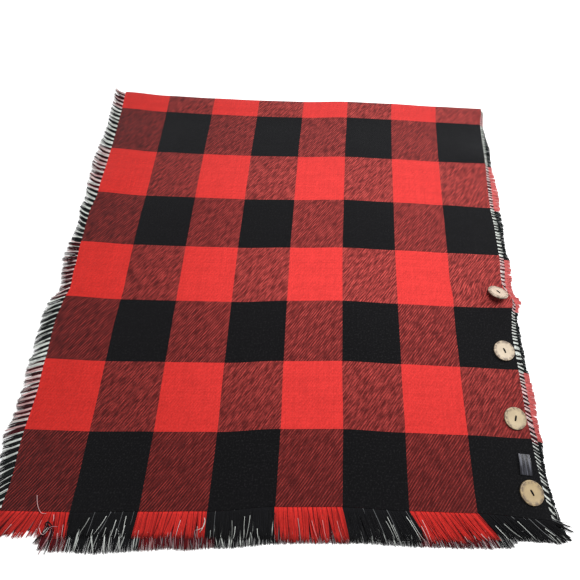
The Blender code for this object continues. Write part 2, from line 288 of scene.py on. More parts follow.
def flat_sheet(map_name, columns, rows, put_at):
    """A grid laid in space; put_at gives a point's place and its flat coordinates."""
    bm = bmesh.new()
    bmesh.ops.create_grid(bm, x_segments=columns, y_segments=rows, size=0.5)
    flat = {}
    for vertex in bm.verts:
        vertex.co, flat[vertex] = put_at(vertex.co.x, vertex.co.y + 0.5)
    layer = bm.loops.layers.uv.new(map_name)
    for face in bm.faces:
        for loop in face.loops:
            loop[layer].uv = flat[loop.vert]
    return bm


def thicken(piece, thickness, offset, even=False):
    """Give a sheet its thickness, and soft shading that stops at its edges."""
    wall = piece.modifiers.new("thickness", "SOLIDIFY")
    wall.thickness = thickness
    wall.offset = offset
    wall.use_even_offset = even
    apply_modifiers(piece)
    piece.data.shade_smooth()
    piece.data.set_sharp_from_angle(angle=SHARP)


# %% The panel
def panel_point(side, part):
    """Where a point of the panel's grid lies, and its flat coordinates."""
    across = side + 0.5
    point, along = lay(across, round(part * ROWS))
    return point, flat_place(across, along)


def make_panel():
    """The whole folded cloth, with its flat coordinates as the UV map weave."""
    bm = flat_sheet("weave", COLUMNS, ROWS, panel_point)
    bmesh.ops.reverse_faces(bm, faces=bm.faces)
    cloth = new_piece("shawl_cloth", mesh_from(bm, "shawl_cloth"))
    thicken(cloth, SKIN, -1, even=True)
    return cloth


cloth = make_panel()
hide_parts("cloth_panel")
print("cloth:", len(cloth.data.polygons), "faces")

# %% [markdown]
# ## Helpers for shader nodes
# A procedural weave is a lot of small sums.  Here a socket is wrapped as a
# signal that can be added, multiplied and so on, so that the nodes are written
# as a formula, and each sign in it makes one Math node.  Short helpers make
# the mixes, the noise, the groups and the materials.

# %% Nodes and sums
class Signal:
    """A socket that takes part in sums."""

    def __init__(self, tree, socket):
        self.tree = tree
        self.socket = socket

    def __add__(self, other):
        return calc(self.tree, "ADD", self, other)

    def __sub__(self, other):
        return calc(self.tree, "SUBTRACT", self, other)

    def __rsub__(self, other):
        return calc(self.tree, "SUBTRACT", other, self)

    def __mul__(self, other):
        return calc(self.tree, "MULTIPLY", self, other)

    def __truediv__(self, other):
        return calc(self.tree, "DIVIDE", self, other)

    def __mod__(self, other):
        return calc(self.tree, "FLOORED_MODULO", self, other)

    def __floor__(self):
        return calc(self.tree, "FLOOR", self)

    def __abs__(self):
        return calc(self.tree, "ABSOLUTE", self)


def wire(tree, source, target):
    """Link a signal or a socket to another socket, or set a plain value."""
    if isinstance(source, Signal):
        source = source.socket
    if isinstance(source, bpy.types.NodeSocket):
        tree.links.new(source, target)
    else:
        target.default_value = source


def add_node(tree, kind, values=(), **settings):
    """A node with its settings, and its inputs wired by name or number."""
    made = tree.nodes.new(kind)
    for name, value in settings.items():
        setattr(made, name, value)
    for key, value in dict(values).items():
        wire(tree, value, made.inputs[key])
    return made


def calc(tree, operation, *values):
    """One Math node."""
    made = add_node(tree, "ShaderNodeMath", enumerate(values), operation=operation)
    return Signal(tree, made.outputs[0])


def about_one(value, spread):
    """A factor near 1 from a value between 0 and 1."""
    return value * spread + (1 - spread / 2)


# %% Mixes and noise
def mix_value(tree, factor, low, high):
    """A number between two others."""
    made = add_node(tree, "ShaderNodeMix", {0: factor, 2: low, 3: high}, data_type="FLOAT")
    return Signal(tree, made.outputs[0])


def mix_color(tree, factor, first, second, blend="MIX"):
    """A colour between two others."""
    made = add_node(tree, "ShaderNodeMix", {0: factor, 6: first, 7: second},
                    data_type="RGBA", blend_type=blend)
    return made.outputs[2]


def scaled(tree, color, factor):
    """A colour made brighter or darker by a number."""
    values = {0: factor, 1: factor, 2: factor}
    grey = add_node(tree, "ShaderNodeCombineColor", values).outputs[0]
    return mix_color(tree, 1.0, color, grey, "MULTIPLY")


def split(tree, vector):
    """The first two parts of a vector."""
    apart = add_node(tree, "ShaderNodeSeparateXYZ", {0: vector}).outputs
    return Signal(tree, apart["X"]), Signal(tree, apart["Y"])


def soft_noise(tree, vector, scale, detail=2.0):
    """Smooth noise between 0 and 1."""
    values = {"Vector": vector, "Scale": scale, "Detail": detail}
    return Signal(tree, add_node(tree, "ShaderNodeTexNoise", values).outputs[0])


def smooth_range(tree, value, low, high, to_low=0.0, to_high=1.0):
    """A value eased from one range to another."""
    values = {0: value, 1: low, 2: high, 3: to_low, 4: to_high}
    made = add_node(tree, "ShaderNodeMapRange", values, interpolation_type="SMOOTHSTEP")
    return Signal(tree, made.outputs[0])


# %% Groups and materials
def signals(tree, sockets):
    """Sockets by name, ready for sums."""
    return {socket.name: Signal(tree, socket) for socket in sockets}


def new_group(name, inputs, outputs):
    """A shader node group of numbers; an input without a value is a vector."""
    group = bpy.data.node_groups.new(name, "ShaderNodeTree")
    for label, value in inputs.items():
        kind = "NodeSocketVector" if value is None else "NodeSocketFloat"
        socket = group.interface.new_socket(name=label, in_out="INPUT", socket_type=kind)
        if value is not None:
            socket.default_value = value
    for label in outputs:
        group.interface.new_socket(name=label, in_out="OUTPUT", socket_type="NodeSocketFloat")
    given = signals(group, group.nodes.new("NodeGroupInput").outputs)
    return group, given, group.nodes.new("NodeGroupOutput").inputs


def use_group(tree, group, **values):
    """Place a group in a material."""
    made = add_node(tree, "ShaderNodeGroup", node_tree=group)
    for label, value in values.items():
        wire(tree, value, made.inputs[label])
    return signals(tree, made.outputs)


def new_material(name, constants):
    """A Principled material with its constant values on the shader's own sockets."""
    made = bpy.data.materials.new(name)
    made.use_nodes = True
    shader = made.node_tree.nodes["Principled BSDF"]
    for label, value in constants.items():
        shader.inputs[label].default_value = value
    return made, made.node_tree, shader


def uv_map(tree, name):
    """A piece's own flat coordinates."""
    return add_node(tree, "ShaderNodeUVMap", uv_map=name).outputs[0]


def kept_color(tree, name):
    """A colour that a mesh keeps as an attribute."""
    return add_node(tree, "ShaderNodeAttribute", attribute_name=name).outputs["Color"]


def object_place(tree):
    """Coordinates in space, in metres."""
    return add_node(tree, "ShaderNodeTexCoord").outputs["Object"]


def add_relief(tree, shader, height, strength, depth):
    """Fine relief from a height; depth is in mm."""
    values = {"Strength": strength, "Distance": depth * MM, "Height": height}
    bump = add_node(tree, "ShaderNodeBump", values)
    wire(tree, bump.outputs[0], shader.inputs["Normal"])


print("node helpers are ready")

# %% [markdown]
# ## The twill
# In a two-and-two twill each thread passes over two and under two, one step
# further on with each row, which draws the diagonal lines. The group below
# counts threads from the flat coordinates. The weft is the bulkier yarn, so
# it hides a part of each warp float. A red float that lies between black
# yarns is narrow and half hidden, so it is made thin there, bright only along
# its crown, which is a painted highlight, and loose red fibre adds a haze over
# its neighbours. Streaks that follow the diagonal keep it from being even.

# %% Twill numbers
# Noise: waves in a metre of the yarns' wander and of their thick and thin places.
WANDER_WAVES = 55.0
SLUB_WAVES = 420.0
# A warp float's height at its ends, the height at which the weft hides it, and how softly.
FLOAT_ENDS = 0.4
WEFT_HIDES = 0.36
WARP_SHOWS = (-0.12, 0.14)
# The weft's height at its sides and how much it rises.
WEFT_LOW = 0.1
WEFT_RISE = 0.75
# Streaks: waves for each thread crossed and for each thread followed, and their contrast.
STREAK_CROSS = 0.4
STREAK_FOLLOW = 0.06
STREAK_RANGE = (0.32, 0.68)
# A crossed red float: how sharply it narrows to a bright core along its crown (a painted
# highlight), its share on average, and its share in the weft, with what a warp float loses.
THIN_POWER = 3.0
THIN_MEAN = 0.17
THIN_WEFT = 1.16
THIN_WARP = -0.25
# The warps' tones are drawn apart from the wefts'.
WARP_SEED = 0.37


# %% Twill node group
def crown(fraction):
    """The round of a yarn: 0 at its sides and 1 along its middle."""
    centred = fraction * 2.0 - 1.0
    return 1.0 - centred * centred


def make_twill():
    """Thread by thread: how red a point is, and how high its yarn stands."""
    tree, given, result = new_group(
        "twill_check",
        {"Flat": None, "Warp": WARP, "Weft": WEFT, "Warps": WARPS_A_CHECK,
         "Wefts": WEFTS_A_CHECK, "Wander": 0.3, "Slubs": 0.5, "Thin": 0.41, "Haze": 0.1,
         "Uneven": 1.0, "Blend": 0.0},
        ["Red", "HighlitFloat", "Height", "Tone", "Streak"],
    )
    across, along = split(tree, given["Flat"])
    drift = (soft_noise(tree, given["Flat"], WANDER_WAVES, 3.0) - 0.5) * given["Wander"]
    x = across / given["Warp"] + drift
    y = along / given["Weft"] - drift
    warp, weft = math.floor(x), math.floor(y)
    in_warp, in_weft = x - warp, y - weft
    warp_red = 1.0 - math.floor(warp / given["Warps"]) % 2.0
    weft_red = math.floor(weft / given["Wefts"]) % 2.0
    # Of every four steps along a weft, two go under a warp float.
    step = (warp - weft) % 4.0
    warp_over = calc(tree, "LESS_THAN", step, 1.5)
    run = (1.0 - step + in_weft) * 0.5
    warp_round = crown(in_warp) * (crown(run) * (1 - FLOAT_ENDS) + FLOAT_ENDS)
    slub = soft_noise(tree, given["Flat"], SLUB_WAVES, 1.0) - 0.5
    shown = warp_round - (slub * given["Slubs"] + WEFT_HIDES)
    shown = warp_over * smooth_range(tree, shown, *WARP_SHOWS)
    red = mix_value(tree, shown, weft_red, warp_red)
    height = mix_value(tree, shown, crown(in_weft) * WEFT_RISE + WEFT_LOW, warp_round)
    slant = add_node(tree, "ShaderNodeCombineXYZ",
                     {0: (x - y) * STREAK_CROSS, 1: (x + y) * STREAK_FOLLOW}).outputs[0]
    streak = smooth_range(tree, soft_noise(tree, slant, 1.0, 1.5), *STREAK_RANGE)
    # A crossed red float is brightest along its crown: a painted highlight.
    # Blend flattens the float to its average, for threads too fine to be seen one by one.
    thin = red * calc(tree, "POWER", height, THIN_POWER)
    thin = mix_value(tree, given["Blend"], thin, THIN_MEAN)
    thin = thin * ((streak - 0.5) * given["Uneven"] + 1.0)
    thin = thin * (warp_red * THIN_WARP + THIN_WEFT)
    crossed = abs(warp_red - weft_red)
    thin = thin * given["Thin"] * crossed
    red = mix_value(tree, crossed, red, given["Haze"])
    seed = mix_value(tree, warp_over, weft, warp + WARP_SEED)
    tone = add_node(tree, "ShaderNodeTexWhiteNoise", {"W": seed}, noise_dimensions="1D")
    made = {"Red": red, "HighlitFloat": thin, "Height": height, "Tone": tone.outputs[0],
            "Streak": streak}
    for label, value in made.items():
        wire(tree, value, result[label])
    return tree


twill = make_twill()
print("twill group:", len(twill.nodes), "nodes")

# %% [markdown]
# ## Nap
# Brushed acrylic has a fine bloom of fibre over its yarns.  It breaks up flat
# colour with faint clouds and grain, and it catches light at a low angle, so
# blacks look a little grey at the far side.  The clouds are a group that the
# cloth and the fringe share; the glow is the shader's own sheen.

# %% Nap node group
CLOUD_WAVES = 45.0
GRAIN_WAVES = 420.0


def make_nap():
    """Clouds and grain of brushed fibre, as a brightness near 1 and a fine height."""
    group, given, result = new_group("brushed_nap", {"Place": None, "Clouds": 0.1, "Grain": 0.2},
                                     ["Bright", "Height"])
    clouds = soft_noise(group, given["Place"], CLOUD_WAVES, 3.0)
    grain = soft_noise(group, given["Place"], GRAIN_WAVES, 3.0)
    fine = (clouds - 0.5) * given["Clouds"] + (grain - 0.5) * given["Grain"]
    wire(group, fine + 1.0, result["Bright"])
    wire(group, grain, result["Height"])
    return group


nap = make_nap()
print("nap group:", len(nap.nodes), "nodes")

# %% [markdown]
# ## Colours of the cloth
# The red is the yarn's own.  Towards the right and the far side it is mixed
# with a paler red, a painted sheen.  The pinker line that a thin red float
# draws between black yarns is that float's red with a painted highlight, paled
# there too by painted sheen.  It is strongest towards the far right, where the
# ramp of painted sheen and wear is highest.  Both follow the flat coordinates,
# so they stay with the cloth wherever the camera is.

# %% Check cloth
RED = (0.61, 0.0235, 0.0175, 1.0)
# The red paled by painted sheen, laid on towards the right and the far side.
SHEEN_PALED_RED = (0.64, 0.0440, 0.0420, 1.0)
BLACK = (0.0050, 0.0048, 0.0054, 1.0)
LINT = (0.75, 0.72, 0.74, 1.0)
# A thin red float's line: its red with a painted highlight, then the same paled by painted sheen.
FLOAT_HIGHLIGHT_RED = (0.88, 0.085, 0.072, 1.0)
SHEEN_PALED_HIGHLIGHT_RED = (0.92, 0.135, 0.118, 1.0)
# Ramps over the flat cloth in metres: to the right from the left edge, and away from the
# upper hem.  One that starts below 0 is already part of the way up at the edge.
RIGHTWARD = (-0.12, 0.38)
# The second ramp, times the first, lays on painted sheen together with wear.
WEAR_AND_SHEEN_AWAY = (-0.02, 0.28)
FAR_AWAY = (-0.36, 0.16)
BLEND_AWAY = (-0.2, 0.12, 0.0, 0.5)
# Brightness: how much one thread differs from the next, one streak from the next, and the
# painted shade at the bottom of the weave, with the painted light that a yarn's crown adds.
TONE_SPREAD = 0.18
STREAK_SPREAD = 0.14
GAP_SHADE = 0.72
CROWN_LIGHT = 0.40
# Specks of lint: where the noise lets them through, and how much they cover.
LINT_WAVES = 480.0
LINT_RANGE = (0.5, 0.72, 0.0, 0.012)


def make_check_cloth():
    """Red and black twill with its nap."""
    made, tree, shader = new_material("check_cloth", {
        "Roughness": 0.9, "Specular IOR Level": 0.03, "Sheen Weight": 1.0,
        "Sheen Roughness": 0.38, "Sheen Tint": (0.90, 0.94, 1.0, 1.0)})
    flat = uv_map(tree, "weave")
    across, along = split(tree, flat)
    right = smooth_range(tree, across, *RIGHTWARD)
    # Painted sheen together with wear, highest at the far right.
    wear_and_sheen = right * smooth_range(tree, along, *WEAR_AND_SHEEN_AWAY)
    far = smooth_range(tree, along, *FAR_AWAY)
    # A painted sheen pales the red towards the right and the far side.
    paled = right * 0.4 + wear_and_sheen * 0.3
    haze = right * 0.05 + wear_and_sheen * 0.02 + 0.035
    thin = (wear_and_sheen * 0.5 + right * -0.08 + 0.62) * (far * 0.18 + 0.82)
    threads = use_group(tree, twill, Flat=flat, Haze=haze, Thin=thin, Uneven=far * 1.15 + 0.2,
                        Blend=smooth_range(tree, along, *BLEND_AWAY))
    bloom = use_group(tree, nap, Place=flat, Clouds=0.2, Grain=0.6)
    tone = about_one(threads["Tone"], TONE_SPREAD) * about_one(threads["Streak"], STREAK_SPREAD)
    # Painted shade in the weave's gaps and painted light on the yarns' crowns, with thread tone,
    # streaks and nap.
    bright = (threads["Height"] * CROWN_LIGHT + GAP_SHADE) * tone * bloom["Bright"]
    color = mix_color(tree, threads["Red"], BLACK, mix_color(tree, paled, RED, SHEEN_PALED_RED))
    # The thin float's line: its red with a painted highlight, paled further by painted sheen.
    line = mix_color(tree, paled, FLOAT_HIGHLIGHT_RED, SHEEN_PALED_HIGHLIGHT_RED)
    color = mix_color(tree, threads["HighlitFloat"], color, line)
    lint = smooth_range(tree, soft_noise(tree, flat, LINT_WAVES, 3.0), *LINT_RANGE)
    color = mix_color(tree, lint, color, LINT)
    wire(tree, scaled(tree, color, bright), shader.inputs["Base Color"])
    add_relief(tree, shader, bloom["Height"] * 0.3 + threads["Height"], strength=0.5, depth=0.4)
    return made


check_cloth = make_check_cloth()
finish_with(cloth, check_cloth)
print("check cloth: two-and-two twill")

# %% [markdown]
# ## Loose yarn
# The fringe is the cloth's own threads with the crossing ones pulled out.
# Each thread here is one spline with a small round section that thins to its
# tip.  Its colour is kept as an attribute, one value for each thread, so a
# single material serves red, black and off-white yarn alike.

# %% Yarn material
def make_yarn():
    """Soft spun yarn in the colour that each thread carries."""
    made, tree, shader = new_material("fringe_yarn", {
        "Roughness": 0.9, "Specular IOR Level": 0.05, "Sheen Weight": 0.05,
        "Sheen Roughness": 0.4})
    bloom = use_group(tree, nap, Place=object_place(tree), Clouds=0.3, Grain=0.5)
    color = scaled(tree, kept_color(tree, "yarn"), bloom["Bright"])
    wire(tree, color, shader.inputs["Base Color"])
    add_relief(tree, shader, bloom["Height"], strength=0.35, depth=0.2)
    return made


fringe_yarn = make_yarn()

# %% Threads from splines
YARN_RADIUS = 0.42 * MM
YARN_POINTS = 7
# A bevel of resolution 0 has four sides, and a tip is this much thinner than its root.
SECTION = 4
TAPER = 0.55


def weld(mesh):
    """Join each thread's end caps to its sides."""
    bm = bmesh.new()
    bm.from_mesh(mesh)
    bmesh.ops.remove_doubles(bm, verts=bm.verts, dist=0.001 * MM)
    bm.to_mesh(mesh)
    bm.free()


def keep_color(mesh, name, values):
    """Store a colour for each point of a mesh."""
    mesh.attributes.new(name, "FLOAT_COLOR", "POINT").data.foreach_set("color", values)


class Yarns:
    """Collects loose threads, then turns them into one mesh.

    Blender writes the end caps first, from the last thread back, and then the sides.
    """

    def __init__(self, name):
        self.name = name
        self.curve = bpy.data.curves.new(name, "CURVE")
        self.curve.dimensions = "3D"
        self.curve.bevel_depth = YARN_RADIUS
        self.curve.bevel_resolution = 0
        self.curve.use_fill_caps = True
        self.shades = []

    def add(self, points, shade, thickness=1.0):
        """One thread through its points, thinning towards the last."""
        spline = self.curve.splines.new("POLY")
        last = len(points) - 1
        spline.points.add(last)
        for index, point in enumerate(points):
            spline.points[index].co = (*point, 1.0)
            spline.points[index].radius = thickness * (1 - TAPER * (index / last) ** 2)
        self.shades.append(shade)

    def finish(self, *nodes):
        """The mesh piece, with each thread's colour on its points."""
        maker = add_object(self.name + "_maker", self.curve)
        mesh = bpy.data.meshes.new_from_object(maker)
        bpy.data.objects.remove(maker)
        caps = 2 * SECTION
        sides = SECTION * len(self.curve.splines[0].points)
        assert len(mesh.vertices) == (caps + sides) * len(self.shades), self.name
        values = [value for shade in reversed(self.shades) for value in (*shade, 1.0) * caps]
        values += [value for shade in self.shades for value in (*shade, 1.0) * sides]
        keep_color(mesh, "yarn", values)
        weld(mesh)
        mesh.name = self.name
        mesh.shade_smooth()
        piece = new_piece(self.name, mesh)
        finish_with(piece, fringe_yarn)
        if nodes:
            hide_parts(*nodes)
        print(self.name + ":", len(self.shades), "threads,", len(mesh.polygons), "faces")
        return piece


# %% [markdown]
# ## Locks of fringe
# Loose threads cling together in small locks.  A lock's threads leave the
# cloth side by side, swell a little and draw together at the tip.  Each edge
# has its own mood: long and brushed along the hems, in striped black and white
# locks along the sides.

# %% Yarn shades
YARN_RED = (0.60, 0.032, 0.026)
YARN_CRIMSON = (0.40, 0.020, 0.020)
YARN_DEEP = (0.20, 0.012, 0.014)
YARN_MAROON = (0.080, 0.009, 0.013)
YARN_BLACK = (0.0094, 0.0094, 0.0106)
YARN_GREEN = (0.013, 0.021, 0.019)
YARN_PALE = (0.70, 0.73, 0.69)
YARN_BLUSH = (0.74, 0.47, 0.47)
YARN_ASH = (0.40, 0.42, 0.40)
YARN_MAUVE = (0.40, 0.20, 0.22)
YARN_ROSE = (0.57, 0.125, 0.122)
YARN_GREY = (0.16, 0.165, 0.17)


def varied(shade, dice, amount=0.18):
    """A shade made a little lighter or darker."""
    factor = 1 + dice.uniform(-amount, amount)
    return tuple(channel * factor for channel in shade)


# %% One lock
# How far a lock sways and its threads drift and lift in mm, and how it swings.
LOCK_SWAY = 0.45
DRIFT = 0.2
LIFTS = (-0.3, 0.5)
TIP_DRIFT = 0.4
SWINGS = 4.5
LOWEST_TIP = 0.5 * MM


def draw_lock(yarns, dice, root, along, outward, width, length, tip_z, count, shades,
              tip_share=0.7, belly=0.05, ragged=0.05, thickness=1.0, bend=0.0, curl=0.12):
    """A lock of threads from a root point; along is the edge's direction.

    Its width at the tip is tip_share of that at the root, belly widens its middle, ragged
    varies its threads' lengths, and bend and curl carry its tip aside.
    """
    bend += dice.uniform(-curl, curl)
    sway = dice.uniform(-LOCK_SWAY, LOCK_SWAY) * MM
    swing = dice.uniform(0, math.tau)
    for thread in range(count):
        start = (2 * (thread + dice.uniform(0.2, 0.8)) / count - 1) * width / 2
        reach = length * dice.uniform(1 - 2 * ragged, 1 + 0.5 * ragged)
        lift = dice.uniform(*LIFTS) * MM
        wave = sway + dice.uniform(-DRIFT, DRIFT) * MM
        end_z = max(LOWEST_TIP, tip_z + dice.uniform(-TIP_DRIFT, TIP_DRIFT) * MM)
        points = []
        for step in range(YARN_POINTS):
            part = step / (YARN_POINTS - 1)
            arch = math.sin(math.pi * part)
            closing = 1 + (tip_share - 1) * part ** 1.5 + belly * arch
            side = start * closing + wave * part * math.sin(SWINGS * part + swing)
            side += bend * length * part * part
            point = root + along * side + outward * (reach * part)
            point.z = root.z + (end_z - root.z) * ease(part * 1.25) + lift * arch
            points.append(point)
        yarns.add(points, varied(dice.choice(shades), dice), thickness * dice.uniform(0.85, 1.15))


# %% [markdown]
# ## Which way the fringe lies
# Brushed flat by the hand that laid it, the fringe leans left at the left
# corner and right at the right one.  A lean is in degrees: towards the far
# side where it is negative along the sides, and to the right along the hems.

# %% Lean tables
# Fraction down or across, lean in degrees, and length beyond the cloth's edge in mm.
LEFT_LEANS = (
    (0, -22, 23), (0.06, -16, 21), (0.12, -14, 19.5), (0.19, -12, 23), (0.26, -10, 25),
    (0.32, -12, 23), (0.37, -14, 17.5), (0.43, -14, 15), (0.47, -6, 18.5), (0.5, 2, 21.5),
    (0.53, 8, 19.5), (0.56, 12, 16.5), (0.59, 14, 25), (0.61, 18, 25.5), (0.64, 22, 23),
    (0.7, 22, 22.5), (0.735, 12, 23), (0.76, 14, 21.5), (0.8, 16, 23.5), (0.83, 16, 23),
    (0.86, 16, 26), (0.89, 18, 23), (0.92, 24, 21), (1, 26, 22),
)
RIGHT_LEANS = (
    (0, -5, 6), (0.1, 10, 7), (0.3, 8, 7.5), (0.45, 6, 8), (0.54, 10, 8), (0.56, 30, 9),
    (0.595, 14, 8), (0.65, 8, 8.5), (0.7, 10, 9), (0.73, 20, 8.5), (0.8, 28, 9.5), (0.865, 28, 10),
    (0.9, 44, 10), (0.93, 38, 11), (1, 34, 12),
)
UNDER_RIGHT_LEANS = (
    (0, 5, 5.5), (0.06, 6, 5.8), (0.1, 6, 6.4), (0.13, 6, 9.3), (0.2, 8, 8.4), (0.24, 9, 11.8),
    (0.27, 10, 13.8), (0.31, 10, 12.6), (0.36, 10, 12.2), (0.4, 11, 9.6), (0.43, 11, 9),
    (0.46, 11, 12.4), (0.53, 12, 12.6), (0.56, 12, 14.2), (0.578, 12, 6.4), (0.6, 12, 5.6),
    (0.64, 13, 9.2), (0.68, 14, 10.2), (0.7, 14, 8.4), (0.73, 14, 11.6), (0.78, 16, 13),
    (0.84, 18, 11.4), (0.89, 19, 7.8), (0.92, 20, 7), (0.96, 23, 9.6), (1, 24, 12),
)
HEM_LEANS = (
    (0, -42, 41), (0.05, -34, 33), (0.085, -20, 28), (0.105, 2, 27), (0.125, 0, 27),
    (0.145, -14, 27), (0.2, -20, 28), (0.25, -10, 28), (0.31, -13, 28), (0.37, -3, 28),
    (0.44, 3, 31), (0.5, 4, 35), (0.56, 9, 37), (0.625, 14, 38), (0.69, 26, 38), (0.75, 31, 38),
    (0.82, 36, 38), (0.875, 44, 38), (0.94, 50, 38), (0.985, 57, 34), (1, 70, 26),
)
UNDER_HEM_LEANS = (
    (0, -30, 20), (0.06, -20, 12), (0.072, -16, 14), (0.082, -12, 30), (0.1, -9, 32),
    (0.125, -6, 31.8), (0.175, -3, 33.5), (0.2, -1, 33), (0.25, 2, 31.4), (0.3, 6, 29.6),
    (0.325, 6, 31.2), (0.375, 5, 29), (0.45, 3, 30), (0.55, 5, 29), (0.6, 7, 29.8), (0.65, 10, 29),
    (0.75, 15, 29.4), (0.8, 18, 30), (0.86, 24, 30.8), (0.895, 29, 30.5), (0.915, 31, 21.5),
    (0.95, 38, 22), (0.975, 46, 24), (1, 50, 20),
)
# Fraction down, widths of the dark and the pale locks in mm, how far they bend aside, and
# how much of their width is left at the tip.
LEFT_LOCKS = (
    (0, 4.2, 3.6, -0.35, 0.55), (0.12, 4.8, 4.2, -0.35, 0.55), (0.26, 4.6, 4.2, -0.3, 0.6),
    (0.4, 5.8, 3.3, -0.35, 0.75), (0.46, 5.4, 1.8, -0.15, 0.8), (0.52, 4.8, 2.2, 0, 0.85),
    (0.6, 5, 2.4, 0.1, 0.85), (0.66, 5.6, 1.9, 0.1, 0.85), (0.7, 3.4, 3.8, 0.05, 0.9),
    (0.8, 3.6, 2.8, 0.05, 0.9), (0.86, 5, 2.4, 0, 0.85), (0.93, 6.2, 1.7, 0.1, 0.85),
    (1, 5.6, 2.4, 0, 0.85),
)
RIGHT_LOCKS = (
    (0, 2.6, 2.2, 0, 0.8), (0.45, 2.8, 2.6, 0, 0.8), (0.55, 3.4, 4, 0, 0.8),
    (0.6, 2.4, 2.2, 0, 0.8), (0.65, 2.4, 2.2, 0, 0.8), (0.675, 3.6, 4.4, 0, 0.8),
    (0.73, 2.6, 2.2, 0, 0.8), (0.8, 2.5, 2.3, 0, 0.8), (0.83, 4.2, 4, 0, 0.8),
    (0.865, 2.6, 1.4, 0, 0.7), (0.92, 2.8, 1.3, 0, 0.7), (0.94, 4.2, 3.4, 0, 0.8),
    (1, 4.6, 3.6, 0, 0.8),
)
BAND_LOCKS = ((0.00, 4.5, 4.5, 0.0, 0.85), (1.00, 5.5, 5.5, 0.0, 0.85))
# How far inside the cloth's edge a thread begins.
ROOT_IN = 1.3 * MM
print("longest fringe:", max(row[2] for row in HEM_LEANS), "mm")


# %% Side fringes
# The under half's last rows keep one colour, and its colours lie a little nearer the fold.
LAST_ROW = 14
UNDER_SLIP = 5 * MM
# Locks run from one fraction down to another, overlap a little, and vary by these factors
# in width and length and by so many degrees in lean.
FIRST_LOCK, LAST_LOCK, LAST_ROOT = 0.003, 0.998, 0.999
OVERLAP = 1.15
WIDTHS = (0.75, 1.25)
LENGTHS = (0.93, 1.06)
LEAN_JITTER = 3
SIDE_CURL = 0.06
UPPER_TIP = 2.2 * MM
UNDER_TIP = 0.9 * MM


def root_at(across, down, upper):
    """Where a thread leaves the cloth, at the middle of its thickness."""
    if upper:
        return Vector((*place(across, down), upper_top(across, down) - CLOTH / 2))
    return Vector((*place_under(across, down), CLOTH / 2))


def is_red_row(down, upper):
    """Whether the weft is red at a distance down from the fold."""
    along = HALF_LENGTH * (1 - down)
    if not upper:
        along = HALF_LENGTH + FOLD_ARC + UNDER_LENGTH * down + UNDER_SLIP
    return min(math.floor(along / CHECK_LENGTH), LAST_ROW) % 2 == 1


def striped(red_row, dark):
    """Off-white locks between dark ones."""
    if dark:
        return [YARN_MAROON] * 2 + [YARN_BLACK] if red_row else [YARN_BLACK] * 4 + [YARN_GREEN]
    return [YARN_BLUSH, YARN_BLUSH, YARN_PALE] if red_row else [YARN_PALE]


def shaded(red_row, dark):
    """The layer beneath the upper one, dark in every lock: painted shade."""
    return [YARN_MAROON, YARN_BLACK] if red_row else [YARN_BLACK, YARN_GREEN]


def paled(red_row, dark):
    """The weft's own colour, a little faded, alike in every lock."""
    return [YARN_ROSE] if red_row else [YARN_GREEN, YARN_BLACK, YARN_BLACK]


def side_fringe(node, across, leans, locks, palette, seed, spacing, share=1.0, more=0.0, **look):
    """A side fringe of locks whose shades take turns; spacing and more are in mm."""
    dice = random.Random(seed)
    yarns = Yarns(node + "_yarn")
    upper = node.endswith("upper")
    outward = Vector((-1 if across == 0 else 1, 0, 0))
    down = FIRST_LOCK
    dark = False
    while down < LAST_LOCK:
        width = value_at(locks, 1 if dark else 2, down) * dice.uniform(*WIDTHS) * MM
        middle = min(LAST_ROOT, down + width / HALF_LENGTH / 2)
        root = root_at(across, middle, upper) - outward * ROOT_IN
        lean = value_at(leans, 1, middle) + dice.uniform(-LEAN_JITTER, LEAN_JITTER)
        length = share * value_at(leans, 2, middle) * dice.uniform(*LENGTHS) + more
        turn = Matrix.Rotation(-outward.x * math.radians(lean), 3, "Z")
        draw_lock(yarns, dice, root, Vector((0, -1, 0)), turn @ outward, OVERLAP * width,
                  length * MM + ROOT_IN, UPPER_TIP if upper else UNDER_TIP,
                  max(3, round(OVERLAP * width / (spacing * MM))),
                  palette(is_red_row(middle, upper), dark), bend=value_at(locks, 3, middle),
                  tip_share=value_at(locks, 4, middle), curl=SIDE_CURL, **look)
        down += width / HALF_LENGTH
        dark = not dark
    return yarns.finish(node)


left_upper = side_fringe("fringe_left_upper", 0, LEFT_LEANS, LEFT_LOCKS, striped, 11, 0.52)
right_upper = side_fringe("fringe_right_upper", 1, RIGHT_LEANS, RIGHT_LOCKS, striped, 12, 0.52)
# The under layer's locks are painted in shade.
left_under = side_fringe("fringe_left_under", 0, LEFT_LEANS, LEFT_LOCKS, shaded, 13, 0.6,
                         share=0.75, more=3.0)
right_under = side_fringe("fringe_right_under", 1, UNDER_RIGHT_LEANS, BAND_LOCKS, paled, 14, 0.36,
                          belly=0.0, ragged=0.04)


# %% Hem fringes
def column_is_red(across):
    """Whether the warp is red at a fraction across."""
    return math.floor(min(across, LAST_ROOT) * CHECKS_ACROSS) % 2 == 0


def hem_lock(yarns, dice, across, upper, width, jitter, lift, shades, share=1.0, begin=0.0,
             **look):
    """One lock of a hem fringe; begin is how far along its own length it starts."""
    near = Vector((0, -1, 0))
    leans = HEM_LEANS if upper else UNDER_HEM_LEANS
    root = root_at(across, 1, upper) - near * ROOT_IN
    root.z += lift * 0.6
    lean = value_at(leans, 1, across) + dice.uniform(-jitter, jitter)
    length = value_at(leans, 2, across) * MM * share + ROOT_IN
    direction = Matrix.Rotation(math.radians(lean), 3, "Z") @ near
    begin *= length
    tip_z = (2.3 if upper else 0.8) * MM + lift
    draw_lock(yarns, dice, root + direction * begin, Vector((1, 0, 0)), direction, width,
              length - begin, tip_z, shades=shades, **look)


